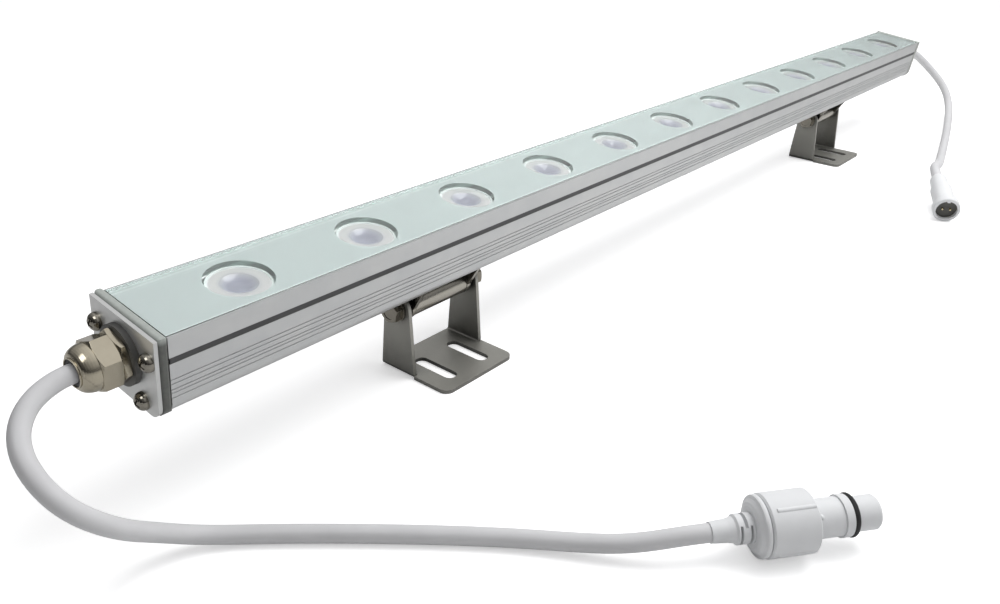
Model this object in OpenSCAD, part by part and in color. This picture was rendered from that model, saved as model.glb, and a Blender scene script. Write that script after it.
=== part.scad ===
// Wall washer light: a one metre aluminium bar with twelve lenses on two tilting brackets.
// Millimetres. +X runs along the bar to its far end, -Y is the front, +Z is up.
// The origin is on the surface that the brackets stand on, below the middle of bar and brackets.
// Heights inside the bar are measured down from the top face of the glass, which is z = 0 there.

/* [Bar] */
// Number of lens windows along the bar
window_count = 12; // [8:1:12]
// Distance from one lens to the next
window_pitch = 83.333; // [60:0.001:100]
// Clear diameter of a window in the printed cover
window_d = 35; // [34:0.5:38]
// Width of the aluminium housing
housing_w = 51; // [50:0.5:56]
// Height of the bar from the underside to the top of the glass
housing_h = 42.6; // [42:0.1:44]
// How far the bar leans towards its front, in degrees
tilt = 7.2; // [0:0.1:10]

/* [Brackets] */
// Distance between the middles of the two brackets
bracket_spacing = 628; // [300:4:640]
// Width of a bracket over its two ears
bracket_w = 64; // [64:1:70]
// Thickness of the stainless sheet
sheet_t = 2.5; // [2:0.1:2.6]
// Height of the tilting axis above the wall or floor
hinge_z = 44.8; // [44:0.2:60]
// Distance of the tilting axis below the underside of the bar
hinge_gap = 20.9; // [20:0.1:24]
// Width of a fixing slot
slot_w = 9; // [6:0.5:9]
// Length of a fixing slot from end to end
slot_length = 33; // [20:1:33]
// Distance between the two slots of a bracket
slot_spacing = 30; // [26:1:32]

/* [Cables] */
// Outside diameter of the round cable
cable_d = 9.5; // [8:0.5:9.5]

/* [Hidden] */
$fn = 64;
hair = 0.05;

// Glass, printed layer and the silicone bed that they lie on
glass_t = 4;
print_t = 0.2;
bed_t = 0.3;
lip_t = 1;
lip_drop = 0.3;
side_bed = 0.25;
seat_z = -(glass_t + print_t + bed_t);
glass_half_w = housing_w / 2 - lip_t - side_bed;

// Section of the housing
wall_t = 3.5;
floor_z = -27;
web_z = -30;
corner_r = 6.8;
strip_top = -11.4;
strip_h = 2.9;
strip_depth = 1.4;
strip_undercut = 0.4;
rib_lines = [-23, -25.4, -28.4, -30.3, -33];
rib_line_w = 0.5;
rib_line_depth = 0.35;
port_high = [21, -12.3];
port_low = [13.8, -37.4];
port_r = 1.65;
port_boss_r = 3.4;
chamber_in = 11.4;
chamber_out = 22.6;
chamber_low = -39.6;

// Rail under the bar, open downwards, in which the hinge lugs slide
rail_mouth_w = 9;
rail_head_w = 17.2;
rail_lip_t = 2.8;
rail_head_h = 5.6;

// Ends of the bar
housing_half = window_count * window_pitch / 2 + 13.4;
gasket_t = 5;
gasket_proud = 0.7;
gasket_round = 2;
plate_t = 2;
plate_grow = 0.3;
plate_x = housing_half + gasket_t + plate_t;
end_screw_head_r = 4.6;
end_screw_head_h = 4.3;
end_screw_hole_r = 2.2;
end_screw_length = 16;
end_screw_cross_l = 5;
end_screw_cross_w = 1;
end_screw_cross_depth = 1.4;

// Light engine
board_w = 38;
board_t = 1.6;
board_z = floor_z + board_t;
lens_r = 15.4;
lens_top = -7;
lens_rim_t = 2;
lens_bowl_r = 9.5;
lens_bowl_depth = 3;
lens_foot_r = 5;
holder_r = 16.6;
holder_top = -6.6;

// Cable glands
gland_z = -18.9;
gland_washer_r = 15;
gland_washer_t = 3;
gland_collar_af = 24;
gland_collar_t = 3.5;
gland_nut_af = 23.6;
gland_nut_h = 9.5;
gland_dome_h = 8;
gland_mouth_r = 7.2;
gland_seal_r = 6.6;
gland_bore_r = 5.2;
gland_thread_r = 8;
locknut_af = 19;
locknut_t = 4;
thread_reach = plate_t + gasket_t - 0.2;
gland_nut_x = gland_washer_t + gland_collar_t;
gland_mouth = gland_nut_x + gland_nut_h + gland_dome_h;
seal_face = gland_mouth - 0.5;
collar_turn = -18.5;
nut_turn = 4;

// Brackets, lugs and pivots
hinge_drop = housing_h + hinge_gap;
plate_front = 42.3;
plate_back = 14.2;
ear_slope = 0.1;
ear_top_r = 10.5;
bend_r = 1.2;
front_corner_r = 6;
slot_y = -16.8;
pivot_r = 4;
pivot_running = 0.06;
pivot_hole_r = 4.4;
pivot_af = 13;
pivot_head_h = 5.3;
pivot_nut_h = 6.5;
pivot_end = 2.5;
pivot_washer_r = 8;
pivot_washer_t = 1.6;
pivot_head_turn = 12;
pivot_face = bracket_w / 2 + pivot_washer_t;
spacer_t = 2.8;
spacer_r = 7;
lug_half = 26.5;
lug_tube_r = 8.6;
lug_cheek_t = 3;
lug_foot_half = 17;
lug_foot_t = 1.8;
lug_gap = 0.3;
lug_screw_x = 17;
lug_screw_y = 10.6;
lug_screw_r = 2;
lug_screw_length = 7;

// Where the bar stands: the hinge is set back so that the box is centred on the origin
back_reach = (housing_w / 2 - corner_r) * cos(tilt) - (hinge_gap + corner_r) * sin(tilt) + corner_r + gasket_proud;
hinge_y = (plate_front - back_reach) / 2;
gland_at = [plate_x, hinge_y - (gland_z + hinge_drop) * sin(tilt), hinge_z + (gland_z + hinge_drop) * cos(tilt)];
cable_r = cable_d / 2;
floor_rest = cable_r + hair;

// Plug on the near cable: the middle of the coupling nut's back face, and its direction on the floor
plug_at = [-347.5, -234, 15.6];
plug_turn = -40;
plug_pitch = 2;
plug_nut_r = 15.5;
plug_nut_length = 24;
plug_bar_r = 1.3;
plug_bar_out = 16;
plug_relief_length = 25;
plug_relief_r = 7.3;
plug_cap_start = -4.8;
plug_neck_r = 9.5;
plug_flange_r = 10.3;
plug_flange_start = 39.4;
plug_flange_end = 43.4;
plug_tip_r = 8.5;
plug_tip_end = 58.7;
plug_oring_section = 1.4;
plug_groove_r = plug_tip_r - 0.6;
plug_groove_end = plug_flange_end + 2 * plug_oring_section + 0.2;
plug_recess_r = 6.9;
plug_recess_floor = 47.6;

// Distance between the two contacts of plug and socket
contact_apart = 6.8;

// Socket on the far cable: the middle of its open face, and its direction, with the nose down
socket_length = 62.6;
socket_rim_r = 12;
socket_at = [188, -170, 11.9];
socket_turn = 205.6;
socket_pitch = 11;
socket_rim_h = 7.4;
socket_barrel_r = 9.5;
socket_mouth_r = 9.3;
socket_mouth_depth = 6;
socket_bore_r = 8.4;
socket_bore_depth = 12;

// Where the cables pass: the loops that they make, and where they lie on the floor
near_route = [
    [-540, gland_at[1], gland_at[2]],
    [-547, gland_at[1], gland_at[2]],
    [-555, 4, 88],
    [-569, -1, 85],
    [-581, -16, 76],
    [-577, -39, 58],
    [-558, -46, 40],
    [-541, -31, 20],
    [-518, -35, floor_rest],
    [-491, -62, floor_rest],
    [-450, -109, floor_rest],
    [-417, -150, floor_rest],
    [-396, -188, 8],
    [-378.9, -207.6, 14.2],
    [-366.6, -217.9, 14.7]
];
far_route = [
    [540, gland_at[1], gland_at[2]],
    [547, gland_at[1], gland_at[2]],
    [560, 4, 88],
    [585, 2, 82],
    [613, -5, 69],
    [629, -21, 51],
    [627, -42, 33],
    [608, -56, 14],
    [560, -70, floor_rest],
    [490, -87, floor_rest],
    [422, -102, floor_rest],
    [365, -115, 7.5],
    [312, -125.5, 17.5],
    [269, -131, 27],
    [243.4, -143.4, 23.8]
];
route_steps = 3;
cable_sides = 10;

// Colours, only for the preview
silver = [0.74, 0.75, 0.76];
milky = [0.72, 0.76, 0.73];
print_green = [0.8, 0.89, 0.87];
glass_clear = [0.85, 0.95, 0.94, 0.35];
rubber_black = [0.09, 0.09, 0.1];
washer_grey = [0.35, 0.36, 0.38];
insert_grey = [0.3, 0.31, 0.32];
steel = [0.6, 0.59, 0.56];
nickel = [0.72, 0.69, 0.62];
lens_white = [0.9, 0.9, 0.92, 0.6];
holder_white = [0.93, 0.93, 0.94];
board_white = [0.85, 0.87, 0.86];
plug_white = [0.86, 0.87, 0.88];
cable_grey = [0.8, 0.81, 0.82];
brass = [0.8, 0.66, 0.36];

// Frames

// From the glass top of the level bar to its place on the brackets
module on_bar() {
    translate([0, hinge_y, hinge_z]) rotate([tilt, 0, 0]) translate([0, 0, hinge_drop]) children();
}

// At one end of the bar: side -1 is the near end, +1 the far end; +X points out of the bar
module at_end(side) {
    on_bar() mirror([side < 0 ? 1 : 0, 0, 0]) children();
}

// At the tilting axis below one end of the bar, leaning with the bar
module at_lug(side) {
    translate([side * bracket_spacing / 2, hinge_y, hinge_z]) rotate([tilt, 0, 0]) children();
}

// At the tilting axis, upright with the bracket
module at_bracket(side) {
    translate([side * bracket_spacing / 2, hinge_y, hinge_z]) children();
}

module at_plug() {
    translate(plug_at) rotate([0, 0, plug_turn]) rotate([0, 90 - plug_pitch, 0]) children();
}

module at_socket() {
    translate(socket_at) rotate([0, 0, socket_turn]) rotate([0, 90 + socket_pitch, 0]) children();
}

// Building blocks

// Push a section drawn in the Y-Z plane along X, from x0 to x1
module along_x(x0, x1) {
    translate([x0, 0, 0]) rotate([90, 0, 90]) linear_extrude(x1 - x0) children();
}

module rod_x(x0, x1, r) {
    translate([x0, 0, 0]) rotate([0, 90, 0]) cylinder(h = x1 - x0, r = r);
}

module hex_x(x0, x1, af, turn) {
    translate([x0, 0, 0]) rotate([turn, 0, 0]) rotate([0, 90, 0])
        cylinder(h = x1 - x0, r = af / 2 / cos(30), $fn = 6);
}

module ring(r_out, r_in, h) {
    difference() {
        cylinder(h = h, r = r_out);
        translate([0, 0, -1]) cylinder(h = h + 2, r = r_in);
    }
}

module rounded_square(w, h, r) {
    translate([-w / 2, -h / 2 + r]) square([w, h - 2 * r]);
    translate([-w / 2 + r, -h / 2]) square([w - 2 * r, h]);
    for (sx = [-1, 1], sy = [-1, 1]) translate([sx * (w / 2 - r), sy * (h / 2 - r)]) circle(r = r);
}

// The bar's outline: square shoulders at the top, round corners at the bottom
module bar_outline(grow, top) {
    r = corner_r + grow;
    half = housing_w / 2 + grow;
    low = -housing_h - grow;
    translate([-half, low + r]) square([2 * half, top - low - r]);
    translate([-half + r, low]) square([2 * half - 2 * r, r + 1]);
    for (s = [-1, 1]) translate([s * (half - r), low + r]) circle(r = r);
}

module port_places() {
    for (s = [-1, 1], p = [port_high, port_low]) translate([s * p[0], p[1]]) children();
}

// Housing

module strip_groove(side) {
    x_out = side * (housing_w / 2 + 1);
    x_in = side * (housing_w / 2 - strip_depth);
    polygon([
        [x_out, strip_top], [x_in, strip_top + strip_undercut],
        [x_in, strip_top - strip_h - strip_undercut], [x_out, strip_top - strip_h]
    ]);
}

module strip_section(side) {
    intersection() {
        strip_groove(side);
        translate([side * (housing_w / 2 - strip_depth / 2 - 0.1) - strip_depth / 2, strip_top - strip_h - 1])
            square([strip_depth, strip_h + 2]);
    }
}

module rib_line_cuts() {
    for (s = [-1, 1], z = rib_lines)
        translate([s * housing_w / 2 - rib_line_depth, z - rib_line_w / 2]) square([2 * rib_line_depth, rib_line_w]);
}

module rail_cut() {
    head_low = -housing_h + rail_lip_t;
    translate([-rail_mouth_w / 2, -housing_h - 1]) square([rail_mouth_w, rail_lip_t + 1.5]);
    translate([-rail_head_w / 2, head_low]) square([rail_head_w, rail_head_h]);
}

module chamber_cuts() {
    for (s = [-1, 1]) difference() {
        translate([s * (chamber_in + chamber_out) / 2 - (chamber_out - chamber_in) / 2, chamber_low])
            square([chamber_out - chamber_in, web_z - chamber_low]);
        translate([s * port_low[0], port_low[1]]) circle(r = port_boss_r);
        // thick root of the round corner
        translate([s * (chamber_out + 2.4), chamber_low - 2.4]) rotate(45) square(8, center = true);
    }
}

module housing_section() {
    inner_half = housing_w / 2 - wall_t;
    difference() {
        bar_outline(0, -lip_drop);
        translate([-housing_w / 2 + lip_t, seat_z]) square([housing_w - 2 * lip_t, -seat_z + 1]);
        difference() {
            translate([-inner_half, floor_z]) square([2 * inner_half, seat_z - floor_z + 1]);
            for (s = [-1, 1]) translate([s * port_high[0], port_high[1]]) circle(r = port_boss_r);
        }
        port_places() circle(r = port_r);
        for (s = [-1, 1]) strip_groove(s);
        rib_line_cuts();
        chamber_cuts();
        rail_cut();
    }
}

module housing() {
    color(silver) on_bar() along_x(-housing_half, housing_half) housing_section();
}

module side_strip(side) {
    color(rubber_black) on_bar() along_x(-housing_half + 0.5, housing_half - 0.5) strip_section(side);
}

module front_strip() {
    side_strip(-1);
}

module rear_strip() {
    side_strip(1);
}

// Cover

module glass_cover() {
    color(glass_clear) on_bar()
        translate([-housing_half, -glass_half_w, -glass_t]) cube([2 * housing_half, 2 * glass_half_w, glass_t]);
}

module window_places() {
    for (i = [0 : window_count - 1]) translate([(i - (window_count - 1) / 2) * window_pitch, 0, 0]) children();
}

module window_mask() {
    color(print_green) on_bar() difference() {
        translate([-housing_half, -glass_half_w, -glass_t - print_t])
            cube([2 * housing_half, 2 * glass_half_w, print_t]);
        window_places() translate([0, 0, -glass_t - 1]) cylinder(h = 2, d = window_d);
    }
}

module cover_seal() {
    bed_w = wall_t - lip_t;
    color(milky) on_bar() along_x(-housing_half, housing_half)
        for (s = [-1, 1]) {
            x_side = s * (glass_half_w + side_bed / 2) - side_bed / 2;
            x_bed = s * (glass_half_w + side_bed - bed_w / 2) - bed_w / 2;
            translate([x_side, seat_z]) square([side_bed, -seat_z - lip_drop - 0.1]);
            translate([x_bed, seat_z]) square([bed_w, bed_t]);
        }
}

// Ends of the bar

module end_gasket(side) {
    top = gasket_proud;
    wide = housing_w + 2 * gasket_proud;
    middle_x = housing_half + gasket_t / 2;
    color(milky) at_end(side) difference() {
        intersection() {
            along_x(housing_half, housing_half + gasket_t) bar_outline(gasket_proud, top);
            // rounded rims above and below
            translate([middle_x, housing_w, top / 2 - (housing_h + gasket_proud) / 2]) rotate([90, 0, 0])
                linear_extrude(2 * housing_w) rounded_square(gasket_t, housing_h + 2 * gasket_proud, gasket_round);
            // rounded rims at front and back
            translate([middle_x, 0, -2 * housing_h]) linear_extrude(3 * housing_h)
                rounded_square(gasket_t, wide, gasket_round);
        }
        along_x(housing_half - 1, plate_x) {
            port_places() circle(r = end_screw_hole_r);
            translate([0, gland_z]) circle(r = locknut_af / 2 / cos(30) + 0.5);
        }
    }
}

module near_gasket() {
    end_gasket(-1);
}

module far_gasket() {
    end_gasket(1);
}

module end_plate(side) {
    color(silver) at_end(side) along_x(housing_half + gasket_t, plate_x) difference() {
        bar_outline(plate_grow, 0);
        port_places() circle(r = end_screw_hole_r);
        translate([0, gland_z]) circle(r = gland_thread_r + 0.2);
    }
}

module near_end_plate() {
    end_plate(-1);
}

module far_end_plate() {
    end_plate(1);
}

// Pan head with a cross recess, pointing out along +X
module pan_screw() {
    r = end_screw_head_r;
    h = end_screw_head_h;
    edge = 0.2 * h;
    crown = [for (a = [0 : 15 : 90]) [r * cos(a), edge + (h - edge) * sin(a)]];
    difference() {
        rotate([0, 90, 0]) rotate_extrude($fn = 32) polygon(concat([[0, 0], [r, 0]], crown));
        for (a = [20, 110]) rotate([a, 0, 0]) translate([h - end_screw_cross_depth, -end_screw_cross_l / 2, -end_screw_cross_w / 2])
            cube([2, end_screw_cross_l, end_screw_cross_w]);
    }
    rod_x(-end_screw_length, 0.5, port_r);
}

module end_screws(side) {
    color(steel) at_end(side) translate([plate_x, 0, 0])
        for (s = [-1, 1], p = [port_high, port_low]) translate([0, s * p[0], p[1]]) pan_screw();
}

module near_end_screws() {
    end_screws(-1);
}

module far_end_screws() {
    end_screws(1);
}

// Light engine

module board_screw_places() {
    for (i = [0 : 2 : window_count - 2], s = [-1, 1])
        translate([(i + 1 - window_count / 2) * window_pitch, s * 14, 0]) children();
}

module led_board() {
    color(board_white) on_bar() difference() {
        translate([-housing_half + 6, -board_w / 2, floor_z]) cube([2 * housing_half - 12, board_w, board_t]);
        board_screw_places() translate([0, 0, floor_z - 1]) cylinder(h = 4, r = 1.7);
    }
}

module led_chips() {
    color(holder_white) on_bar() window_places() translate([0, 0, board_z]) {
        translate([-2.5, -2.5, 0]) cube([5, 5, 0.8]);
        intersection() {
            cylinder(h = 2.2, r = 1.9);
            translate([0, 0, 0.4]) sphere(r = 1.9);
        }
    }
}

// Side view of the collimating lens: a wide rim, a bowl in the face and a cone down to the chip
module lens_profile() {
    bowl_r = (lens_bowl_r * lens_bowl_r + lens_bowl_depth * lens_bowl_depth) / (2 * lens_bowl_depth);
    foot_z = board_z + 2.6;
    difference() {
        polygon([
            [0, foot_z], [lens_foot_r, foot_z], [lens_bowl_r + 2, lens_top - lens_rim_t],
            [lens_r, lens_top - lens_rim_t], [lens_r, lens_top], [0, lens_top]
        ]);
        translate([0, lens_top - lens_bowl_depth + bowl_r]) circle(r = bowl_r);
    }
}

module lenses() {
    color(lens_white) on_bar() window_places() rotate_extrude() intersection() {
        lens_profile();
        translate([0, -housing_h]) square([lens_r + 1, housing_h]);
    }
}

module lens_holders() {
    seat = lens_top - lens_rim_t;
    color(holder_white) on_bar() window_places() rotate_extrude() polygon([
        [lens_foot_r + 1.2, board_z], [holder_r, board_z], [holder_r, holder_top], [lens_r, holder_top],
        [lens_r, seat], [lens_bowl_r + 2.4, seat], [lens_foot_r + 1.2, board_z + 2.6]
    ]);
}

module board_screws() {
    color(steel) on_bar() board_screw_places() {
        translate([0, 0, board_z]) cylinder(h = 2, r = 2.75);
        translate([0, 0, floor_z]) cylinder(h = board_t + 1, r = 1.5);
    }
}

// Cable glands, with +X out of the bar and x = 0 on the end plate

module at_gland(side) {
    at_end(side) translate([plate_x, 0, gland_z]) children();
}

module gland_washer(side) {
    color(washer_grey) at_gland(side) difference() {
        rod_x(0, gland_washer_t, gland_washer_r);
        rod_x(-1, gland_washer_t + 1, gland_thread_r);
    }
}

module near_gland_washer() {
    gland_washer(-1);
}

module far_gland_washer() {
    gland_washer(1);
}

// A hexagon whose corners are turned down to a chamfer at both faces
module chamfered_hex(x0, x1, af, turn) {
    chamfer = af * 0.07;
    tip_r = af / 2 / cos(30);
    intersection() {
        hex_x(x0, x1, af, turn);
        translate([x0, 0, 0]) rotate([0, 90, 0]) rotate_extrude() polygon([
            [0, 0], [tip_r - chamfer, 0], [tip_r, chamfer / 2],
            [tip_r, x1 - x0 - chamfer / 2], [tip_r - chamfer, x1 - x0], [0, x1 - x0]
        ]);
    }
}

module gland_body(side) {
    color(nickel) at_gland(side) difference() {
        union() {
            chamfered_hex(gland_washer_t, gland_washer_t + gland_collar_t - hair, gland_collar_af, collar_turn);
            rod_x(-thread_reach, gland_washer_t + 1, gland_thread_r);
        }
        rod_x(-thread_reach - 1, gland_nut_x + 1, gland_bore_r);
    }
}

module near_gland_body() {
    gland_body(-1);
}

module far_gland_body() {
    gland_body(1);
}

module gland_nut(side) {
    dome_base_r = gland_nut_af / 2 - 0.3;
    rise = gland_dome_h;
    // rounded shoulder, bulging between the hexagon and the mouth
    shoulder = [for (a = [0 : 10 : 90])
        [gland_mouth_r + (dome_base_r - gland_mouth_r) * cos(a), rise * 0.92 * sin(a)]];
    color(nickel) at_gland(side) difference() {
        union() {
            chamfered_hex(gland_nut_x, gland_nut_x + gland_nut_h, gland_nut_af, nut_turn);
            translate([gland_nut_x + gland_nut_h, 0, 0]) rotate([0, 90, 0]) rotate_extrude()
                polygon(concat([[0, -1], [dome_base_r, -1]], shoulder, [[gland_mouth_r, rise], [0, rise]]));
        }
        rod_x(gland_nut_x - 1, gland_mouth + 1, gland_bore_r);
        rod_x(gland_mouth - 3, gland_mouth + 1, gland_seal_r);
    }
}

module near_gland_nut() {
    gland_nut(-1);
}

module far_gland_nut() {
    gland_nut(1);
}

module gland_seal(side) {
    color(rubber_black) at_gland(side) difference() {
        rod_x(gland_mouth - 3, seal_face, gland_seal_r);
        rod_x(gland_mouth - 4, gland_mouth, cable_r + hair);
    }
}

module near_gland_seal() {
    gland_seal(-1);
}

module far_gland_seal() {
    gland_seal(1);
}

module gland_locknut(side) {
    color(nickel) at_gland(side) difference() {
        hex_x(-plate_t - locknut_t, -plate_t, locknut_af, 0);
        rod_x(-plate_t - locknut_t - 1, 0, gland_thread_r);
    }
}

module near_gland_locknut() {
    gland_locknut(-1);
}

module far_gland_locknut() {
    gland_locknut(1);
}

// Cables: one tube swept along a smooth curve that the route points pull into shape

function padded(route) = concat(
    [2 * route[0] - route[1]], route, [2 * route[len(route) - 1] - route[len(route) - 2]]
);

function spline_at(p, i, t) = (
    pow(1 - t, 3) * p[i] + (3 * pow(t, 3) - 6 * t * t + 4) * p[i + 1]
    + (-3 * pow(t, 3) + 3 * t * t + 3 * t + 1) * p[i + 2] + pow(t, 3) * p[i + 3]
) / 6;

function curve(route) = let (p = padded(route)) concat(
    [for (i = [0 : len(p) - 4], k = [0 : route_steps - 1]) spline_at(p, i, k / route_steps)],
    [route[len(route) - 1]]
);

function unit(v) = v / norm(v);

function direction(c, i) = unit(c[min(i + 1, len(c) - 1)] - c[max(i - 1, 0)]);

// Carry a side vector along the curve without twisting it
function sides(c, i = 0, last = [0, 0, 1], out = []) =
    i == len(c) ? out
    : let (d = direction(c, i), s = unit(last - (last * d) * d)) sides(c, i + 1, s, concat(out, [s]));

module tube(route, r) {
    c = curve(route);
    s = sides(c);
    n = cable_sides;
    rings = [for (i = [0 : len(c) - 1]) let (d = direction(c, i), w = cross(d, s[i]))
        for (k = [0 : n - 1]) c[i] + r * (cos(360 * k / n) * s[i] + sin(360 * k / n) * w)];
    walls = [for (i = [0 : len(c) - 2], k = [0 : n - 1])
        [i * n + k, i * n + (k + 1) % n, (i + 1) * n + (k + 1) % n, (i + 1) * n + k]];
    first = [for (k = [n - 1 : -1 : 0]) k];
    final = [for (k = [0 : n - 1]) (len(c) - 1) * n + k];
    polyhedron(points = rings, faces = concat(walls, [first], [final]));
}

module near_cable() {
    color(cable_grey) tube(near_route, cable_r);
}

module far_cable() {
    color(cable_grey) tube(far_route, cable_r);
}

// Plug, drawn along +Z from the back face of its coupling nut

module plug_relief() {
    start = -plug_relief_length;
    rib_start = plug_cap_start - 8;
    r = plug_relief_r;
    color(plug_white) at_plug() difference() {
        rotate_extrude() polygon([
            [0, start], [cable_r + 0.3, start], [cable_r + 0.9, rib_start - 4], [cable_r + 1.5, rib_start - 1],
            [r, rib_start], [r, plug_cap_start], [0, plug_cap_start]
        ]);
        // slits that let the end bend, in turn above and beside the cable
        for (a = [0, 180]) rotate([0, 0, a]) translate([r / 2, -5.5, rib_start + 3]) cube([r, 11, 1.6]);
        for (a = [90, 270]) rotate([0, 0, a]) translate([r / 2, -5.5, rib_start + 0.6]) cube([r, 11, 1.4]);
        for (a = [90, 270]) rotate([0, 0, a]) translate([r / 2, -5.5, rib_start + 5.6]) cube([r, 11, 1.2]);
    }
}

module plug_cap() {
    start = plug_cap_start;
    r = plug_nut_r;
    color(plug_white) at_plug() rotate_extrude() polygon([
        [0, start], [r - 5.5, start], [r - 3.8, start + 0.5], [r - 2.2, start + 1.9], [r - 0.7, -2.4],
        [r - 0.4, -1.6], [r - 0.4, -0.4], [0, -0.4]
    ]);
}

module plug_body() {
    color(plug_white) at_plug() difference() {
        union() {
            translate([0, 0, -0.4]) cylinder(h = plug_flange_start + 1, r = plug_neck_r);
            translate([0, 0, plug_flange_start]) cylinder(h = plug_flange_end - plug_flange_start, r = plug_flange_r);
            translate([0, 0, plug_flange_end - 1]) cylinder(h = plug_tip_end - plug_flange_end, r = plug_tip_r);
            translate([0, 0, plug_tip_end - 1]) cylinder(h = 1, r1 = plug_tip_r, r2 = plug_tip_r - 0.8);
            // small latch bump on the neck
            rotate([0, 0, 225]) translate([plug_neck_r - 0.3, 0, plug_nut_length + 3]) sphere(r = 1.3);
        }
        // groove of the O-ring
        translate([0, 0, plug_flange_end]) ring(plug_tip_r + 3, plug_groove_r, plug_groove_end - plug_flange_end);
        translate([0, 0, plug_recess_floor]) cylinder(h = plug_tip_end, r = plug_recess_r);
    }
}

module plug_oring() {
    middle_z = (plug_flange_end + plug_groove_end) / 2;
    color(rubber_black) at_plug() translate([0, 0, middle_z]) rotate_extrude()
        translate([plug_groove_r + plug_oring_section + 0.02, 0]) circle(r = plug_oring_section, $fn = 20);
}

module plug_nut() {
    length = plug_nut_length;
    r = plug_nut_r;
    color(plug_white) at_plug() difference() {
        union() {
            rotate_extrude() polygon([
                [0, 0.3], [r - 0.8, 0.3], [r, 1.2], [r, length - 0.6], [r - 0.6, length], [0, length]
            ]);
            // four grip bars
            for (a = [25 : 90 : 295]) rotate([0, 0, a]) translate([plug_bar_out - plug_bar_r, 0, 4])
                cylinder(h = length - 5, r = plug_bar_r);
        }
        translate([0, 0, -1]) cylinder(h = length + 2, r = plug_neck_r + 0.4);
        // threaded part, wider than the hole behind it
        translate([0, 0, 6]) cylinder(h = length, r = r - 2.5);
    }
}

module plug_contacts() {
    color(brass) at_plug() for (a = [0, 180]) rotate([0, 0, a])
        translate([contact_apart / 2, 0, plug_recess_floor]) ring(1.6, 1, 9);
}

// Socket, drawn along +Z out of its open face; the cable is at -Z

module socket_body() {
    back = -socket_length;
    color(plug_white) at_socket() difference() {
        union() {
            rotate_extrude() polygon([
                [0, back], [cable_r + 0.4, back], [7.6, back + 5], [8.2, back + 22], [socket_barrel_r, back + 24],
                [socket_barrel_r, -9], [10, -socket_rim_h], [0, -socket_rim_h]
            ]);
            translate([0, 0, -socket_rim_h]) cylinder(h = socket_rim_h - 0.8, r = socket_rim_r);
            translate([0, 0, -0.8]) cylinder(h = 0.8, r1 = socket_rim_r, r2 = socket_rim_r - 0.8);
            // flat latch on the barrel
            translate([-3, 8, -26]) cube([6, 2.6, 10]);
        }
        difference() {
            translate([0, 0, -socket_mouth_depth]) cylinder(h = 7, r = socket_mouth_r);
            translate([-11, -1.2, -7]) cube([3, 2.4, 8]);
        }
        translate([0, 0, -socket_bore_depth]) cylinder(h = 7, r = socket_bore_r);
    }
}

module socket_insert() {
    color(insert_grey) at_socket() difference() {
        union() {
            translate([0, 0, -socket_bore_depth]) cylinder(h = 8, r = socket_bore_r - hair);
            translate([0, 0, hair - socket_mouth_depth]) cylinder(h = 1.95, r = socket_mouth_r - hair);
        }
        translate([-11, -1.3, -7]) cube([3.1, 2.6, 8]);
        for (s = [-1, 1]) translate([0, s * contact_apart / 2, -11]) cylinder(h = 10, r = 1.05);
    }
}

module socket_pins() {
    color(brass) at_socket() for (s = [-1, 1]) translate([0, s * contact_apart / 2, -10.9]) {
        cylinder(h = 8.9, r = 1);
        translate([0, 0, 8.9]) sphere(r = 1);
    }
}

// Hinge lugs: a foot that hangs in the rail, two cheeks and a tube between them round the bolt

module lug_foot_section() {
    foot_z = hinge_gap - lug_gap;
    flare_z = foot_z - lug_foot_t;
    head_low = hinge_gap + rail_lip_t + lug_gap;
    head_high = hinge_gap + rail_lip_t + rail_head_h - lug_gap;
    neck = rail_mouth_w / 2 - lug_gap;
    head = rail_head_w / 2 - lug_gap;
    foot = lug_foot_half;
    polygon([
        [foot, flare_z], [foot, foot_z], [neck, foot_z], [neck, head_low], [head, head_low],
        [head, head_high], [-head, head_high], [-head, head_low], [-neck, head_low], [-neck, foot_z],
        [-foot, foot_z], [-foot, flare_z]
    ]);
}

module lug_cheek_section() {
    flare_z = hinge_gap - lug_gap - lug_foot_t;
    side_y = lug_tube_r - 0.6;
    polygon([[side_y, 0], [lug_foot_half, flare_z + 0.5], [-lug_foot_half, flare_z + 0.5], [-side_y, 0]]);
    circle(r = lug_tube_r);
}

module lug_screw_places() {
    for (sx = [-1, 1], sy = [-1, 1]) translate([sx * lug_screw_x, sy * lug_screw_y, 0]) children();
}

module hinge_lug(side) {
    color(silver) at_lug(side) difference() {
        union() {
            along_x(-lug_half, lug_half) lug_foot_section();
            along_x(-lug_half, -lug_half + lug_cheek_t) lug_cheek_section();
            along_x(lug_half - lug_cheek_t, lug_half) lug_cheek_section();
            rod_x(-lug_half + 1, lug_half - 1, lug_tube_r - 0.4);
        }
        rod_x(-lug_half - 1, lug_half + 1, pivot_r + pivot_running);
        lug_screw_places() translate([0, 0, 5]) cylinder(h = hinge_gap, r = lug_screw_r);
    }
}

module near_lug() {
    hinge_lug(-1);
}

module far_lug() {
    hinge_lug(1);
}

// Set screws that press the foot off the housing and lock the lug in the rail
module lug_screws(side) {
    top = hinge_gap - 0.15;
    color(steel) at_lug(side) lug_screw_places() translate([0, 0, top - lug_screw_length]) difference() {
        cylinder(h = lug_screw_length, r = lug_screw_r - hair);
        translate([0, 0, -1]) cylinder(h = 3, r = 1.45, $fn = 6);
    }
}

module near_lug_screws() {
    lug_screws(-1);
}

module far_lug_screws() {
    lug_screws(1);
}

// Brackets: one folded sheet with two ears and a slotted plate, drawn about the tilting axis

module ear_outline() {
    low = -hinge_z;
    // the slanted edges touch the round top
    slant = atan(ear_slope);
    touch = [ear_top_r * cos(slant), ear_top_r * sin(slant)];
    intersection() {
        union() {
            polygon([[-plate_back, low], [-touch[0], touch[1]], [touch[0], touch[1]], [plate_back, low]]);
            circle(r = ear_top_r);
        }
        translate([-2 * plate_back, low]) square([4 * plate_back, hinge_z + 2 * ear_top_r]);
    }
}

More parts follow.
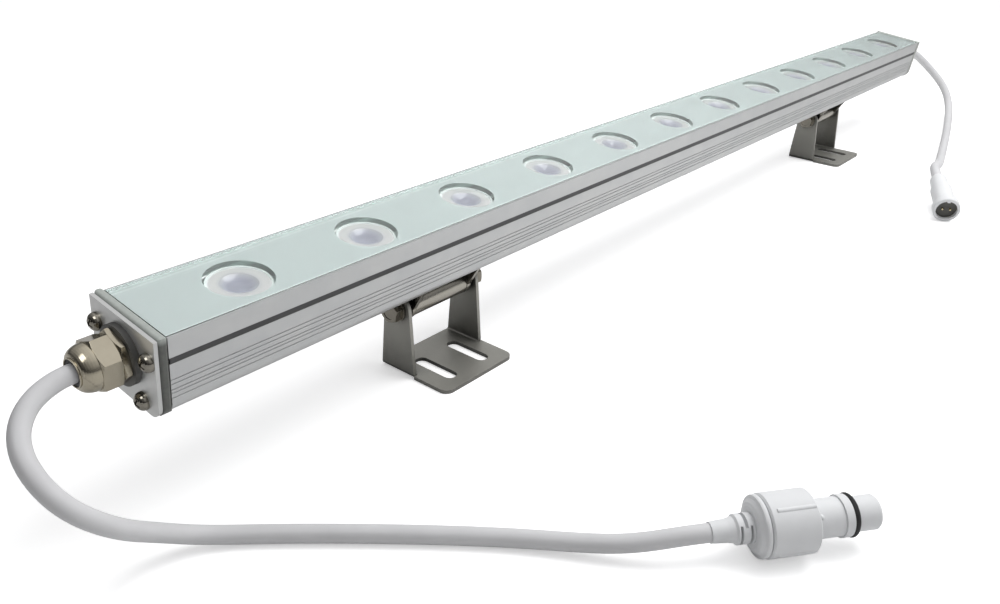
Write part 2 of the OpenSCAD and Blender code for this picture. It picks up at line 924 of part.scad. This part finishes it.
// The folded U seen from the front
module fold_section() {
    low = -hinge_z;
    high = ear_top_r + 1;
    out_r = bend_r + sheet_t;
    inner_w = bracket_w - 2 * sheet_t;
    difference() {
        union() {
            translate([-bracket_w / 2, low + out_r]) square([bracket_w, high - low - out_r]);
            translate([-bracket_w / 2 + out_r, low]) square([bracket_w - 2 * out_r, out_r + 1]);
            for (s = [-1, 1]) translate([s * (bracket_w / 2 - out_r), low + out_r]) circle(r = out_r);
        }
        translate([-inner_w / 2, low + sheet_t + bend_r]) square([inner_w, high - low]);
        translate([-inner_w / 2 + bend_r, low + sheet_t]) square([inner_w - 2 * bend_r, high - low]);
        for (s = [-1, 1]) translate([s * (inner_w / 2 - bend_r), low + sheet_t + bend_r]) circle(r = bend_r);
    }
}

module plate_outline() {
    half = bracket_w / 2;
    front = -plate_front;
    translate([-half, front + front_corner_r]) square([bracket_w, plate_front - plate_back - front_corner_r]);
    translate([-half + front_corner_r, front]) square([bracket_w - 2 * front_corner_r, front_corner_r + 1]);
    for (s = [-1, 1]) translate([s * (half - front_corner_r), front + front_corner_r]) circle(r = front_corner_r);
    // joins the plate to the flat between the ears
    translate([-half + bend_r + sheet_t, -plate_back - 1]) square([bracket_w - 2 * (bend_r + sheet_t), 2]);
}

module slot_outline() {
    run = slot_length - slot_w;
    translate([-slot_w / 2, -run / 2]) square([slot_w, run]);
    for (s = [-1, 1]) translate([0, s * run / 2]) circle(d = slot_w);
}

module bracket(side) {
    color(steel) at_bracket(side) difference() {
        union() {
            intersection() {
                translate([0, plate_back, 0]) rotate([90, 0, 0]) linear_extrude(2 * plate_back) fold_section();
                along_x(-bracket_w, bracket_w) ear_outline();
            }
            translate([0, 0, -hinge_z]) linear_extrude(sheet_t) plate_outline();
        }
        rod_x(-bracket_w, bracket_w, pivot_hole_r);
        for (s = [-1, 1]) translate([s * slot_spacing / 2, slot_y, -hinge_z - 1])
            linear_extrude(sheet_t + 2) slot_outline();
    }
}

module near_bracket() {
    bracket(-1);
}

module far_bracket() {
    bracket(1);
}

// Pivot bolt from the near ear to the far ear, its head towards the near end of the bar
module pivot_bolt(side) {
    color(steel) at_bracket(side) {
        difference() {
            chamfered_hex(-pivot_face - pivot_head_h, -pivot_face, pivot_af, pivot_head_turn);
            rod_x(-pivot_face - pivot_head_h - 1, -pivot_face - pivot_head_h + 0.4, pivot_af * 0.36);
        }
        rod_x(-pivot_face - 1, pivot_face + pivot_nut_h + pivot_end, pivot_r);
    }
}

module near_pivot_bolt() {
    pivot_bolt(-1);
}

module far_pivot_bolt() {
    pivot_bolt(1);
}

module pivot_nut(side) {
    color(steel) at_bracket(side) difference() {
        chamfered_hex(pivot_face, pivot_face + pivot_nut_h, pivot_af, 0);
        rod_x(pivot_face - 1, pivot_face + pivot_nut_h + 1, pivot_r);
    }
}

module near_pivot_nut() {
    pivot_nut(-1);
}

module far_pivot_nut() {
    pivot_nut(1);
}

module pivot_washers(side) {
    color(steel) at_bracket(side) for (s = [-1, 1])
        translate([s * (bracket_w / 2 + pivot_washer_t / 2) - pivot_washer_t / 2, 0, 0]) rotate([0, 90, 0])
            ring(pivot_washer_r, pivot_r + 0.2, pivot_washer_t);
}

module near_pivot_washers() {
    pivot_washers(-1);
}

module far_pivot_washers() {
    pivot_washers(1);
}

// Dark friction washers between the lug and the ears
module spacers(side) {
    inner_face = bracket_w / 2 - sheet_t;
    color(rubber_black) at_bracket(side) for (s = [-1, 1])
        translate([s * (inner_face - spacer_t / 2) - spacer_t / 2, 0, 0]) rotate([0, 90, 0])
            ring(spacer_r, pivot_r + 0.2, spacer_t);
}

module near_spacers() {
    spacers(-1);
}

module far_spacers() {
    spacers(1);
}

housing();
glass_cover();
window_mask();
cover_seal();
front_strip();
rear_strip();
near_gasket();
far_gasket();
near_end_plate();
far_end_plate();
near_end_screws();
far_end_screws();
led_board();
led_chips();
lens_holders();
lenses();
board_screws();
near_gland_washer();
far_gland_washer();
near_gland_body();
far_gland_body();
near_gland_nut();
far_gland_nut();
near_gland_seal();
far_gland_seal();
near_gland_locknut();
far_gland_locknut();
near_cable();
far_cable();
plug_relief();
plug_cap();
plug_body();
plug_nut();
plug_oring();
plug_contacts();
socket_body();
socket_insert();
socket_pins();
near_lug();
far_lug();
near_lug_screws();
far_lug_screws();
near_bracket();
far_bracket();
near_pivot_bolt();
far_pivot_bolt();
near_pivot_nut();
far_pivot_nut();
near_pivot_washers();
far_pivot_washers();
near_spacers();
far_spacers();
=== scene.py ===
import math

import bpy
from mathutils import Matrix, Vector


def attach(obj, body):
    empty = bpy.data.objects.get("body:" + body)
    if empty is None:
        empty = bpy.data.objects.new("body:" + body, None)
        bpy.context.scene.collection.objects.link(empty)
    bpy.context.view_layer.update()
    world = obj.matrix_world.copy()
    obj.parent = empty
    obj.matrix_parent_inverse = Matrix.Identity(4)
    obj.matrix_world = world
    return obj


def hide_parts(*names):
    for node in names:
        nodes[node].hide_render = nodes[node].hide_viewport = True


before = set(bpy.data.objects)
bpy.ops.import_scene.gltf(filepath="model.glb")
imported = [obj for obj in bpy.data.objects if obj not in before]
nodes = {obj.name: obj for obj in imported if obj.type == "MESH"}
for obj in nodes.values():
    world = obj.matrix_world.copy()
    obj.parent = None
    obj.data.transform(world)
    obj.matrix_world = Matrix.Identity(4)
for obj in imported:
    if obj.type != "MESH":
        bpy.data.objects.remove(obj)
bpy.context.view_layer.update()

# The bar's place: it leans about the tilting axis, which lies hinge_drop below the top of the glass
MM = 0.001
tilt = math.radians(7.2)
hinge = Vector((0.0, 9.86, 44.8)) * MM
hinge_drop = 63.5 * MM
window_pitch = 83.333 * MM

bar_frame = (
    Matrix.Translation(hinge) @ Matrix.Rotation(tilt, 4, "X") @ Matrix.Translation((0, 0, hinge_drop))
)


# Materials

def new_material(name):
    material = bpy.data.materials.new(name)
    material.use_nodes = True
    tree = material.node_tree
    shader = tree.nodes["Principled BSDF"]
    return material, tree, shader


def add(tree, kind, **settings):
    node = tree.nodes.new(kind)
    for key, value in settings.items():
        setattr(node, key, value)
    return node


def coordinates(tree, scale=(1, 1, 1), turned=False):
    """Object coordinates in metres times scale; turned ones run along and across the leaning bar."""
    source = add(tree, "ShaderNodeTexCoord").outputs["Object"]
    if turned:
        place = add(tree, "ShaderNodeMapping", vector_type="TEXTURE")
        place.inputs["Location"].default_value = bar_frame.translation
        place.inputs["Rotation"].default_value = (tilt, 0, 0)
        tree.links.new(source, place.inputs["Vector"])
        source = place.outputs["Vector"]
    sized = add(tree, "ShaderNodeVectorMath", operation="MULTIPLY")
    tree.links.new(source, sized.inputs[0])
    sized.inputs[1].default_value = scale
    return sized.outputs["Vector"]


def noise(tree, vector, scale, detail=4.0, roughness=0.6):
    node = add(tree, "ShaderNodeTexNoise")
    tree.links.new(vector, node.inputs["Vector"])
    node.inputs["Scale"].default_value = scale
    node.inputs["Detail"].default_value = detail
    node.inputs["Roughness"].default_value = roughness
    return node.outputs["Fac"]


def between(tree, value, low, high):
    """Spread the middle half of a 0 to 1 value, where noise mostly lies, from low to high."""
    node = add(tree, "ShaderNodeMapRange")
    tree.links.new(value, node.inputs["Value"])
    node.inputs["From Min"].default_value = 0.25
    node.inputs["From Max"].default_value = 0.75
    node.inputs["To Min"].default_value = low
    node.inputs["To Max"].default_value = high
    return node.outputs["Result"]


def bump(tree, shader, height, strength, distance, edge):
    """Fine relief over edges that catch the light as if they were rounded off by the radius edge."""
    rounded = add(tree, "ShaderNodeBevel", samples=4)
    rounded.inputs["Radius"].default_value = edge
    node = add(tree, "ShaderNodeBump")
    node.inputs["Strength"].default_value = strength
    node.inputs["Distance"].default_value = distance
    tree.links.new(height, node.inputs["Height"])
    tree.links.new(rounded.outputs["Normal"], node.inputs["Normal"])
    tree.links.new(node.outputs["Normal"], shader.inputs["Normal"])


def shade(tree, value, dark, light):
    """A colour between two, by a 0 to 1 value."""
    node = add(tree, "ShaderNodeMix", data_type="RGBA")
    tree.links.new(between(tree, value, 0, 1), node.inputs[0])
    node.inputs[6].default_value = (*dark, 1)
    node.inputs[7].default_value = (*light, 1)
    return node.outputs[2]


def paint_shade_in_hollows(tree, colour, reach, least):
    """Painted shade: the colour is darkened where other parts close a place in, such as between the ears of a
    bracket.
    """
    closed_in = add(tree, "ShaderNodeAmbientOcclusion", samples=6)
    closed_in.inputs["Distance"].default_value = reach
    amount = add(tree, "ShaderNodeMapRange")
    tree.links.new(closed_in.outputs["AO"], amount.inputs["Value"])
    amount.inputs["From Min"].default_value = 0.3
    amount.inputs["From Max"].default_value = 0.78
    amount.inputs["To Min"].default_value = least
    amount.inputs["To Max"].default_value = 1.0
    scaled = add(tree, "ShaderNodeVectorMath", operation="SCALE")
    tree.links.new(colour, scaled.inputs[0])
    tree.links.new(amount.outputs["Result"], scaled.inputs["Scale"])
    return scaled.outputs["Vector"]


def set_ramp(ramp, stops):
    """Give a ramp its stops, each a place and a colour; a new ramp already has two."""
    elements = ramp.color_ramp.elements
    for element, (place, colour) in zip(elements, stops[:2]):
        element.position = place
        element.color = colour
    for place, colour in stops[2:]:
        elements.new(place).color = colour


def streaked_metal(name, dark, light, rough, along, turned=False, strength=0.25, hollow_painted_shade=1.0, metallic=1.0):
    """Metal with fine lines along one axis, 0 (X) for an extrusion or 1 (Y) for a sheet."""
    material, tree, shader = new_material(name)
    lines_per_metre = 9000
    streak = 0.004
    stretch = [1.0, 1.0, 1.0]
    stretch[along] = streak
    lines = noise(tree, coordinates(tree, stretch, turned), lines_per_metre)
    clouds = noise(tree, coordinates(tree), 45, detail=3)
    colour = shade(tree, clouds, dark, light)
    # painted shade: below 1, the colour is darkened in hollows, down to this factor
    if hollow_painted_shade < 1:
        colour = paint_shade_in_hollows(tree, colour, 60 * MM, hollow_painted_shade)
    tree.links.new(colour, shader.inputs["Base Color"])
    tree.links.new(between(tree, lines, rough * 0.85, rough * 1.15), shader.inputs["Roughness"])
    shader.inputs["Metallic"].default_value = metallic
    bump(tree, shader, lines, strength, 0.02 * MM, 0.3 * MM)
    return material


def grained(name, dark, light, rough, metallic=0.0, grain=3500, depth=0.03 * MM):
    """A surface with an even fine grain: blasted metal, moulded plastic or rubber."""
    material, tree, shader = new_material(name)
    spots = noise(tree, coordinates(tree), grain, detail=2)
    clouds = noise(tree, coordinates(tree), 60, detail=3)
    tree.links.new(shade(tree, clouds, dark, light), shader.inputs["Base Color"])
    tree.links.new(between(tree, spots, rough * 0.9, rough * 1.1), shader.inputs["Roughness"])
    shader.inputs["Metallic"].default_value = metallic
    bump(tree, shader, spots, 0.3, depth, 0.25 * MM)
    return material


aluminium = streaked_metal(
    "anodised aluminium", (0.59, 0.60, 0.605), (0.65, 0.655, 0.65), 0.40, 0, turned=True, strength=0.07
)
plate_metal = grained("blasted aluminium", (0.64, 0.65, 0.64), (0.70, 0.70, 0.69), 0.42, metallic=0.8)
# the stainless and the lug metal get painted shade in their hollows
stainless = streaked_metal(
    "brushed stainless steel", (0.41, 0.405, 0.37), (0.48, 0.47, 0.43), 0.42, 1, hollow_painted_shade=0.1, metallic=0.62
)
lug_metal = streaked_metal("lug metal", (0.46, 0.44, 0.39), (0.54, 0.51, 0.45), 0.25, 0, hollow_painted_shade=0.2)
plated = grained("plated steel", (0.24, 0.225, 0.19), (0.31, 0.29, 0.25), 0.1, metallic=1.0, depth=0.01 * MM)
nickel = grained("nickel plate", (0.40, 0.36, 0.28), (0.47, 0.43, 0.34), 0.2, metallic=1.0, depth=0.01 * MM)
brass = grained("contact brass", (0.72, 0.62, 0.38), (0.78, 0.68, 0.44), 0.25, metallic=1.0, depth=0.01 * MM)
rubber = grained("black rubber", (0.012, 0.012, 0.013), (0.02, 0.02, 0.021), 0.55)
strip_rubber = grained("dark strip", (0.045, 0.046, 0.047), (0.06, 0.061, 0.062), 0.45)
washer_rubber = grained("grey washer", (0.085, 0.084, 0.080), (0.11, 0.108, 0.10), 0.5)
white_silicone = grained("white silicone", (0.74, 0.78, 0.76), (0.80, 0.83, 0.81), 0.4)
jacket = grained("cable jacket", (0.62, 0.62, 0.63), (0.67, 0.67, 0.68), 0.45, grain=1800)
plastic = grained("plug plastic", (0.73, 0.74, 0.75), (0.78, 0.79, 0.80), 0.42, grain=2600, depth=0.04 * MM)
insert_plastic = grained("dark insert", (0.07, 0.07, 0.062), (0.09, 0.09, 0.08), 0.45)
holder_plastic = grained("white holder", (0.70, 0.74, 0.73), (0.76, 0.79, 0.78), 0.4)
board_mask = grained("white solder mask", (0.62, 0.64, 0.63), (0.68, 0.70, 0.69), 0.35)
led_body = grained("led body", (0.70, 0.66, 0.30), (0.78, 0.72, 0.36), 0.3)


def make_gasket_painted_shade(name, dark, light):
    """Milky silicone, pale along the top and darker below; the darker lower colour is painted shade, where
    less light reaches the silicone.
    """
    material, tree, shader = new_material(name)
    split = add(tree, "ShaderNodeSeparateXYZ")
    tree.links.new(coordinates(tree, turned=True), split.inputs["Vector"])
    depth = add(tree, "ShaderNodeMapRange")
    tree.links.new(split.outputs["Z"], depth.inputs["Value"])
    depth.inputs["From Min"].default_value = -3 * MM
    depth.inputs["From Max"].default_value = 0
    spots = noise(tree, coordinates(tree), 400, detail=3)
    # painted shade below, and a lighter colour for the lit top
    low = shade(tree, spots, dark, light)
    high = shade(tree, spots, (0.36, 0.39, 0.365), (0.44, 0.47, 0.44))
    colour = add(tree, "ShaderNodeMix", data_type="RGBA")
    tree.links.new(depth.outputs["Result"], colour.inputs[0])
    tree.links.new(low, colour.inputs[6])
    tree.links.new(high, colour.inputs[7])
    tree.links.new(colour.outputs[2], shader.inputs["Base Color"])
    shader.inputs["Roughness"].default_value = 0.35
    bump(tree, shader, spots, 0.2, 0.1 * MM, 0.4 * MM)
    return material


def make_glass():
    material, tree, shader = new_material("cover glass")
    shader.inputs["Base Color"].default_value = (0.975, 0.99, 0.985, 1)
    shader.inputs["Transmission Weight"].default_value = 1.0
    shader.inputs["Roughness"].default_value = 0.02
    shader.inputs["IOR"].default_value = 1.5
    # light passes straight through to the print and the lenses
    clear = add(tree, "ShaderNodeBsdfTransparent")
    clear.inputs["Color"].default_value = (0.93, 0.965, 0.955, 1)
    path = add(tree, "ShaderNodeLightPath")
    mix = add(tree, "ShaderNodeMixShader")
    tree.links.new(path.outputs["Is Shadow Ray"], mix.inputs["Fac"])
    tree.links.new(shader.outputs["BSDF"], mix.inputs[1])
    tree.links.new(clear.outputs["BSDF"], mix.inputs[2])
    tree.links.new(mix.outputs["Shader"], tree.nodes["Material Output"].inputs["Surface"])
    return material


def make_print():
    """Pale green white enamel with two lighter lines along each long edge; it lets some light through."""
    material, tree, shader = new_material("printed enamel")
    place = coordinates(tree, turned=True)
    split = add(tree, "ShaderNodeSeparateXYZ")
    tree.links.new(place, split.inputs["Vector"])
    across = add(tree, "ShaderNodeMath", operation="ABSOLUTE")
    tree.links.new(split.outputs["Y"], across.inputs[0])
    half_width = 26 * MM
    share = add(tree, "ShaderNodeMath", operation="MULTIPLY")
    tree.links.new(across.outputs["Value"], share.inputs[0])
    share.inputs[1].default_value = 1 / half_width
    ramp = add(tree, "ShaderNodeValToRGB")
    tree.links.new(share.outputs["Value"], ramp.inputs["Fac"])
    base = (0.61, 0.63, 0.64, 1)
    pale = (0.83, 0.85, 0.86, 1)
    set_ramp(ramp, [
        (0.0, base), (0.80, base), (0.815, pale), (0.84, pale), (0.855, base), (0.90, base), (0.915, pale),
    ])
    tree.links.new(ramp.outputs["Color"], shader.inputs["Base Color"])
    shader.inputs["Roughness"].default_value = 0.35
    thin = add(tree, "ShaderNodeBsdfTranslucent")
    thin.inputs["Color"].default_value = (0.80, 0.92, 0.88, 1)
    mix = add(tree, "ShaderNodeMixShader")
    mix.inputs["Fac"].default_value = 0.5
    tree.links.new(shader.outputs["BSDF"], mix.inputs[1])
    tree.links.new(thin.outputs["BSDF"], mix.inputs[2])
    tree.links.new(mix.outputs["Shader"], tree.nodes["Material Output"].inputs["Surface"])
    return material


def from_lens_axis(tree):
    """Distance in metres from the axis of the nearest lens."""
    split = add(tree, "ShaderNodeSeparateXYZ")
    tree.links.new(coordinates(tree, turned=True), split.inputs["Vector"])
    pitches = add(tree, "ShaderNodeMath", operation="DIVIDE")
    tree.links.new(split.outputs["X"], pitches.inputs[0])
    pitches.inputs[1].default_value = window_pitch
    part = add(tree, "ShaderNodeMath", operation="FRACT")
    tree.links.new(pitches.outputs["Value"], part.inputs[0])
    centred = add(tree, "ShaderNodeMath", operation="SUBTRACT")
    tree.links.new(part.outputs["Value"], centred.inputs[0])
    centred.inputs[1].default_value = 0.5
    along = add(tree, "ShaderNodeMath", operation="MULTIPLY")
    tree.links.new(centred.outputs["Value"], along.inputs[0])
    along.inputs[1].default_value = window_pitch
    flat = add(tree, "ShaderNodeCombineXYZ")
    tree.links.new(along.outputs["Value"], flat.inputs["X"])
    tree.links.new(split.outputs["Y"], flat.inputs["Y"])
    length = add(tree, "ShaderNodeVectorMath", operation="LENGTH")
    tree.links.new(flat.outputs["Vector"], length.inputs[0])
    return length.outputs["Value"]


def make_lens():
    """Moulded lens: milky, with a lighter ring at the rim; the middle is painted darker and bluish grey as
    painted shade, for the shaded depth under the lens.
    """
    material, tree, shader = new_material("moulded lens")
    reach = 18 * MM
    scaled = add(tree, "ShaderNodeMath", operation="MULTIPLY")
    tree.links.new(from_lens_axis(tree), scaled.inputs[0])
    scaled.inputs[1].default_value = 1 / reach
    ramp = add(tree, "ShaderNodeValToRGB")
    tree.links.new(scaled.outputs["Value"], ramp.inputs["Fac"])
    # painted shade: the middle colours are darker, standing in for the shaded depth seen through the lens
    shaded_deep = (0.23, 0.23, 0.29, 1)
    shaded_bowl = (0.31, 0.31, 0.37, 1)
    edge = (0.40, 0.39, 0.41, 1)
    milky = (0.48, 0.465, 0.465, 1)
    rim = (0.70, 0.70, 0.71, 1)
    mm = MM / reach
    set_ramp(ramp, [
        (0.0, shaded_deep), (5.5 * mm, shaded_deep), (7.6 * mm, shaded_bowl), (9.8 * mm, edge),
        (11.6 * mm, milky), (14.4 * mm, milky), (15.2 * mm, rim),
    ])
    tree.links.new(ramp.outputs["Color"], shader.inputs["Base Color"])
    shader.inputs["Roughness"].default_value = 0.12
    shader.inputs["IOR"].default_value = 1.49
    shader.inputs["Coat Weight"].default_value = 0.5
    shader.inputs["Coat Roughness"].default_value = 0.03
    return material


glass = make_glass()
# one silicone in two copies: the near gasket's is painted much darker below as shade, the far gasket's only a
# little
silicone = make_gasket_painted_shade("milky silicone with painted shade", (0.095, 0.10, 0.092), (0.13, 0.135, 0.122))
pale_silicone = make_gasket_painted_shade("pale silicone", (0.34, 0.35, 0.33), (0.42, 0.43, 0.41))
enamel = make_print()
lens = make_lens()

finishes = {
    aluminium: ["housing"],
    lug_metal: ["near_lug", "far_lug"],
    plate_metal: ["near_end_plate", "far_end_plate"],
    glass: ["glass_cover"],
    enamel: ["window_mask"],
    silicone: ["near_gasket"],
    pale_silicone: ["far_gasket"],
    white_silicone: ["cover_seal"],
    strip_rubber: ["front_strip", "rear_strip"],
    rubber: ["near_gland_seal", "far_gland_seal", "plug_oring", "near_spacers", "far_spacers"],
    washer_rubber: ["near_gland_washer", "far_gland_washer"],
    stainless: ["near_bracket", "far_bracket"],
    plated: [
        "near_end_screws", "far_end_screws", "board_screws", "near_lug_screws", "far_lug_screws",
        "near_pivot_bolt", "far_pivot_bolt", "near_pivot_nut", "far_pivot_nut",
        "near_pivot_washers", "far_pivot_washers",
    ],
    nickel: [
        "near_gland_body", "far_gland_body", "near_gland_nut", "far_gland_nut",
        "near_gland_locknut", "far_gland_locknut",
    ],
    lens: ["lenses"],
    holder_plastic: ["lens_holders"],
    board_mask: ["led_board"],
    led_body: ["led_chips"],
    plastic: ["plug_relief", "plug_cap", "plug_body", "plug_nut", "socket_body"],
    insert_plastic: ["socket_insert"],
    brass: ["plug_contacts", "socket_pins"],
}
for finish, names in finishes.items():
    for name in names:
        mesh = nodes[name].data
        mesh.materials.clear()
        mesh.materials.append(finish)


def stand_clear(name, gap):
    """Draw a skin back from the surfaces that it touches, so that the glass shows one clean face."""
    modifier = nodes[name].modifiers.new("stand clear", "DISPLACE")
    modifier.mid_level = 0
    modifier.strength = -gap


stand_clear("window_mask", 0.03 * MM)
stand_clear("cover_seal", 0.03 * MM)


# Cables, along the same route points as the CAD tubes

# the tube is drawn a little thinner, to stay within the outline of the CAD's faceted one
drawn_r = 4.6 * MM
# height in mm of the middle of a cable that lies on the floor
floor_rest = 4.8
near_route = [
    (-540, 4.27, 89.05), (-547, 4.27, 89.05), (-555, 4, 88), (-569, -1, 85), (-581, -16, 76),
    (-577, -39, 58), (-558, -46, 40), (-541, -31, 20), (-518, -35, floor_rest), (-491, -62, floor_rest),
    (-450, -109, floor_rest), (-417, -150, floor_rest), (-396, -188, 8), (-378.9, -207.6, 14.2),
    (-366.6, -217.9, 14.7),
]
far_route = [
    (540, 4.27, 89.05), (547, 4.27, 89.05), (560, 4, 88), (585, 2, 82), (613, -5, 69),
    (629, -21, 51), (627, -42, 33), (608, -56, 14), (560, -70, floor_rest), (490, -87, floor_rest),
    (422, -102, floor_rest), (365, -115, 7.5), (312, -125.5, 17.5), (269, -131, 27), (243.4, -143.4, 23.8),
]


def smooth_line(route, steps=8):
    """Points of the uniform cubic spline that the route pulls into shape, from its first to its last."""
    points = [Vector(p) * MM for p in route]
    points = [2 * points[0] - points[1]] + points + [2 * points[-1] - points[-2]]
    line = []
    for i in range(len(points) - 3):
        a, b, c, d = points[i:i + 4]
        for k in range(steps):
            t = k / steps
            line.append((
                (1 - t) ** 3 * a + (3 * t ** 3 - 6 * t * t + 4) * b
                + (-3 * t ** 3 + 3 * t * t + 3 * t + 1) * c + t ** 3 * d
            ) / 6)
    line.append(points[-2])
    return line


def length_of(line):
    return sum((b - a).length for a, b in zip(line, line[1:]))


def make_cable(node, route):
    """A round tube along the route in place of the CAD's node, and the length of its middle line."""
    line = smooth_line(route)
    name = node + "_tube"
    data = bpy.data.curves.new(name, "CURVE")
    data.dimensions = "3D"
    data.bevel_depth = drawn_r
    data.bevel_resolution = 8
    data.use_fill_caps = True
    spline = data.splines.new("POLY")
    spline.points.add(len(line) - 1)
    for point, place in zip(spline.points, line):
        point.co = (*place, 1)
    spline.use_smooth = True
    cable = bpy.data.objects.new(name, data)
    bpy.context.scene.collection.objects.link(cable)
    data.materials.append(jacket)
    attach(cable, "bar")
    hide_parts(node)
    return cable, length_of(line)


near_cable, near_length = make_cable("near_cable", near_route)
far_cable, far_length = make_cable("far_cable", far_route)


# Floor, light and camera

def make_floor():
    """White to the camera, a little darker as the table that throws light back, and darker in reflections."""
    bpy.ops.mesh.primitive_plane_add(size=12, location=(0, 0, 0))
    floor = bpy.context.object
    floor.name = "floor"
    material, tree, shader = new_material("pale floor")
    shader.inputs["Roughness"].default_value = 0.9
    shader.inputs["Specular IOR Level"].default_value = 0.1
    path = add(tree, "ShaderNodeLightPath")
    table = (0.82, 0.82, 0.82, 1)
    mirrored = (0.72, 0.72, 0.72, 1)
    paper = (0.93, 0.93, 0.93, 1)
    tone = add(tree, "ShaderNodeMix", data_type="RGBA")
    tree.links.new(path.outputs["Is Glossy Ray"], tone.inputs[0])
    tone.inputs[6].default_value = table
    tone.inputs[7].default_value = mirrored
    seen = add(tree, "ShaderNodeMix", data_type="RGBA")
    tree.links.new(path.outputs["Is Camera Ray"], seen.inputs[0])
    tree.links.new(tone.outputs[2], seen.inputs[6])
    seen.inputs[7].default_value = paper
    tree.links.new(seen.outputs[2], shader.inputs["Base Color"])
    # some white of its own, for the camera alone, keeps the paper white to the edges of the picture
    shader.inputs["Emission Color"].default_value = (1, 1, 1, 1)
    lift = add(tree, "ShaderNodeMath", operation="MULTIPLY")
    tree.links.new(path.outputs["Is Camera Ray"], lift.inputs[0])
    lift.inputs[1].default_value = 0.42
    tree.links.new(lift.outputs["Value"], shader.inputs["Emission Strength"])
    floor.data.materials.append(material)


def soft_lamp(name, place, aim, size, power):
    """An oblong of soft light that the camera does not see."""
    data = bpy.data.lights.new(name, "AREA")
    data.shape = "RECTANGLE"
    data.size, data.size_y = size
    data.energy = power
    lamp = bpy.data.objects.new(name, data)
    lamp.location = place
    lamp.rotation_euler = (Vector(aim) - Vector(place)).to_track_quat("-Z", "Y").to_euler()
    lamp.visible_camera = False
    bpy.context.scene.collection.objects.link(lamp)
    return lamp


def make_world():
    """Room light: bright overhead, dim near the horizon and dimmer still beyond the near end."""
    world = bpy.data.worlds.new("studio")
    bpy.context.scene.world = world
    world.use_nodes = True
    tree = world.node_tree
    background = tree.nodes["Background"]
    split = add(tree, "ShaderNodeSeparateXYZ")
    sky = add(tree, "ShaderNodeTexCoord").outputs["Generated"]
    tree.links.new(sky, split.inputs["Vector"])
    ramp = add(tree, "ShaderNodeValToRGB")
    tree.links.new(split.outputs["Z"], ramp.inputs["Fac"])
    levels = [(0.0, 0.12), (0.14, 0.22), (0.26, 0.38), (0.42, 0.62), (0.62, 0.68), (0.8, 1.0), (1.0, 1.1)]
    set_ramp(ramp, [(place, (level, level, level * 1.01, 1)) for place, level in levels])
    tree.links.new(ramp.outputs["Color"], background.inputs["Color"])
    near_side = add(tree, "ShaderNodeVectorMath", operation="DOT_PRODUCT")
    tree.links.new(sky, near_side.inputs[0])
    near_side.inputs[1].default_value = (-1, 0, 0)
    dimmed = add(tree, "ShaderNodeMapRange")
    tree.links.new(near_side.outputs["Value"], dimmed.inputs["Value"])
    dimmed.inputs["From Min"].default_value = -0.3
    dimmed.inputs["From Max"].default_value = 0.9
    dimmed.inputs["To Min"].default_value = 1.0
    dimmed.inputs["To Max"].default_value = 0.15
    tree.links.new(dimmed.outputs["Result"], background.inputs["Strength"])
    # what the camera sees behind the floor is plain white
    path = add(tree, "ShaderNodeLightPath")
    white = add(tree, "ShaderNodeBackground")
    white.inputs["Color"].default_value = (1, 1, 1, 1)
    mix = add(tree, "ShaderNodeMixShader")
    tree.links.new(path.outputs["Is Camera Ray"], mix.inputs["Fac"])
    tree.links.new(background.outputs["Background"], mix.inputs[1])
    tree.links.new(white.outputs["Background"], mix.inputs[2])
    tree.links.new(mix.outputs["Shader"], tree.nodes["World Output"].inputs["Surface"])


def make_camera():
    """Where the photograph was taken from, found by fitting its points to the part's sizes."""
    data = bpy.data.cameras.new("camera")
    data.sensor_width = 36
    data.lens = 32.162
    data.clip_start = 0.01
    camera = bpy.data.objects.new("camera", data)
    place = Matrix.Translation((-0.68425, -0.34433, 0.29411))
    azimuth, drop, roll = math.radians(51.08), math.radians(26.51), math.radians(1.97)
    heading = Matrix.Rotation(-azimuth, 4, "Z")
    lean = Matrix.Rotation(math.pi / 2 - drop, 4, "X")
    camera.matrix_world = place @ heading @ lean @ Matrix.Rotation(roll, 4, "Z")
    bpy.context.scene.collection.objects.link(camera)
    bpy.context.scene.camera = camera


make_floor()
make_world()
overhead = soft_lamp(
    "overhead", place=(0.27, -0.33, 1.0), aim=(0.2, -0.12, 0), size=(0.95, 0.8), power=9.9
)
overhead.visible_glossy = False
highlight = soft_lamp(
    "highlight", place=(-0.93, -0.07, 0.82), aim=(-0.54, 0, 0.09), size=(0.4, 0.4), power=1.7
)
highlight.visible_diffuse = False
make_camera()
bpy.context.scene.view_settings.view_transform = "Standard"
